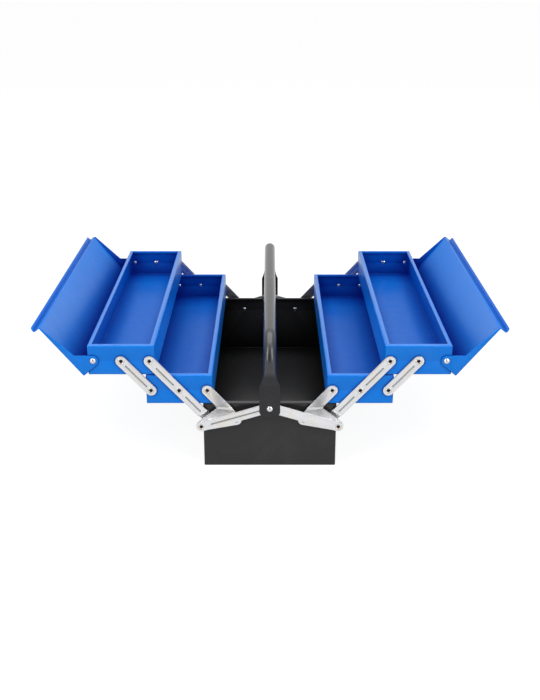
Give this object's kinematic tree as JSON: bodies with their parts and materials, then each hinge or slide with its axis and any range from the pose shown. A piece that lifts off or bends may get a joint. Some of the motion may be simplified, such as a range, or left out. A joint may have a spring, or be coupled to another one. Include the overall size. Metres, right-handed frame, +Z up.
{
  "type": "cantilever tool box",
  "caption": "Cantilever tool box, open: base, swing-out trays on parallel levers, hinged lids and a full-length tube handle worked by bell cranks and links.",
  "frame": {"origin": "middle of the underside of the base, which is the middle of the open box's footprint", "axes": "+X across the box towards the right-hand trays, +Y along the box towards its rear end, +Z up"},
  "size_m": [0.6956, 0.5506, 0.2252],
  "materials": {
    "base_paint": "semi-gloss anthracite powder coat on sheet steel",
    "blue_paint": "semi-gloss blue powder coat on sheet steel",
    "handle_paint": "satin black powder coat on steel tube",
    "zinc": "bright zinc-plated steel strip",
    "rivet_steel": "bright zinc-plated rivets"
  },
  "bodies": {
    "root": {"base_box": "base_paint", "base_rivets": "rivet_steel", "crank_spacers": "rivet_steel"},
    "handle": {"handle": "handle_paint", "handle_pins": "rivet_steel"},
    "left_long_levers": {"long_lever_left_front": "zinc", "long_lever_left_rear": "zinc"},
    "left_lower_tray": {"lower_tray_left": "blue_paint", "lower_rivets_left": "rivet_steel"},
    "left_upper_tray": {"upper_tray_left": "blue_paint", "upper_rivets_left": "rivet_steel", "lid_rivets_left": "rivet_steel"},
    "left_short_levers": {"short_lever_left_front": "zinc", "short_lever_left_rear": "zinc"},
    "left_cranks": {"crank_left_front": "zinc", "crank_left_rear": "zinc", "link_rivets_left": "rivet_steel"},
    "left_links": {"link_left_front": "zinc", "link_left_rear": "zinc", "link_washers_left": "rivet_steel", "link_tails": "rivet_steel"},
    "left_lid": {"lid_left": "blue_paint"},
    "right_long_levers": {"long_lever_right_front": "zinc", "long_lever_right_rear": "zinc"},
    "right_lower_tray": {"lower_tray_right": "blue_paint", "lower_rivets_right": "rivet_steel"},
    "right_upper_tray": {"upper_tray_right": "blue_paint", "upper_rivets_right": "rivet_steel", "lid_rivets_right": "rivet_steel"},
    "right_short_levers": {"short_lever_right_front": "zinc", "short_lever_right_rear": "zinc"},
    "right_cranks": {"crank_right_front": "zinc", "crank_right_rear": "zinc", "link_rivets_right": "rivet_steel"},
    "right_links": {"link_right_front": "zinc", "link_right_rear": "zinc", "link_washers_right": "rivet_steel"},
    "right_lid": {"lid_right": "blue_paint"}
  },
  "joints": [
    {"name": "left_fold", "type": "hinge", "parent": "root", "child": "left_long_levers", "pos_m": [-0.0918, 0, 0.0808], "axis": [0, 1, 0], "range_deg": [0, 83.74]},
    {"name": "left_lower_level", "type": "hinge", "parent": "left_long_levers", "child": "left_lower_tray", "pos_m": [-0.1342, 0, 0.1273], "axis": [0, -1, 0], "range_deg": [0, 83.74]},
    {"name": "left_upper_level", "type": "hinge", "parent": "left_long_levers", "child": "left_upper_tray", "pos_m": [-0.1766, 0, 0.1738], "axis": [0, -1, 0], "range_deg": [0, 83.74]},
    {"name": "left_short_swing", "type": "hinge", "parent": "left_lower_tray", "child": "left_short_levers", "pos_m": [-0.1758, 0, 0.1273], "axis": [0, 1, 0], "range_deg": [0, 83.74]},
    {"name": "left_crank_swing", "type": "hinge", "parent": "root", "child": "left_cranks", "pos_m": [-0.0502, 0, 0.0808], "axis": [0, 1, 0], "range_deg": [0, 83.74]},
    {"name": "left_link_swing", "type": "hinge", "parent": "left_cranks", "child": "left_links", "pos_m": [-0.1024, 0, 0.071], "axis": [0, -1, 0], "range_deg": [0, 119.06]},
    {"name": "left_lid_hinge", "type": "hinge", "parent": "left_upper_tray", "child": "left_lid", "pos_m": [-0.2598, 0, 0.1738], "axis": [0, 1, 0], "range_deg": [0, 129.38]},
    {"name": "right_fold", "type": "hinge", "parent": "root", "child": "right_long_levers", "pos_m": [0.0918, 0, 0.0808], "axis": [0, -1, 0], "range_deg": [0, 83.74]},
    {"name": "right_lower_level", "type": "hinge", "parent": "right_long_levers", "child": "right_lower_tray", "pos_m": [0.1342, 0, 0.1273], "axis": [0, 1, 0], "range_deg": [0, 83.74]},
    {"name": "right_upper_level", "type": "hinge", "parent": "right_long_levers", "child": "right_upper_tray", "pos_m": [0.1766, 0, 0.1738], "axis": [0, 1, 0], "range_deg": [0, 83.74]},
    {"name": "right_short_swing", "type": "hinge", "parent": "right_lower_tray", "child": "right_short_levers", "pos_m": [0.1758, 0, 0.1273], "axis": [0, -1, 0], "range_deg": [0, 83.74]},
    {"name": "right_crank_swing", "type": "hinge", "parent": "root", "child": "right_cranks", "pos_m": [0.0502, 0, 0.0808], "axis": [0, -1, 0], "range_deg": [0, 83.74]},
    {"name": "right_link_swing", "type": "hinge", "parent": "right_cranks", "child": "right_links", "pos_m": [0.1024, 0, 0.071], "axis": [0, 1, 0], "range_deg": [0, 119.06]},
    {"name": "right_lid_hinge", "type": "hinge", "parent": "right_upper_tray", "child": "right_lid", "pos_m": [0.2598, 0, 0.1738], "axis": [0, -1, 0], "range_deg": [0, 129.38]},
    {"name": "handle_lift", "type": "slide", "parent": "root", "child": "handle", "axis": [0, 0, 1], "range_m": [0, 0.11411]}
  ],
  "couplings": [
    {"joint": "left_lower_level", "follows": "left_fold", "ratio": 1},
    {"joint": "left_upper_level", "follows": "left_fold", "ratio": 1},
    {"joint": "left_short_swing", "follows": "left_fold", "ratio": 1},
    {"joint": "left_crank_swing", "follows": "left_fold", "ratio": 1},
    {"joint": "left_link_swing", "follows": "left_fold", "ratio": 1.4218},
    {"joint": "right_fold", "follows": "left_fold", "ratio": 1},
    {"joint": "right_lower_level", "follows": "left_fold", "ratio": 1},
    {"joint": "right_upper_level", "follows": "left_fold", "ratio": 1},
    {"joint": "right_short_swing", "follows": "left_fold", "ratio": 1},
    {"joint": "right_crank_swing", "follows": "left_fold", "ratio": 1},
    {"joint": "right_link_swing", "follows": "left_fold", "ratio": 1.4218},
    {"joint": "handle_lift", "follows": "left_fold", "m_per_rad": 0.078077}
  ]
}
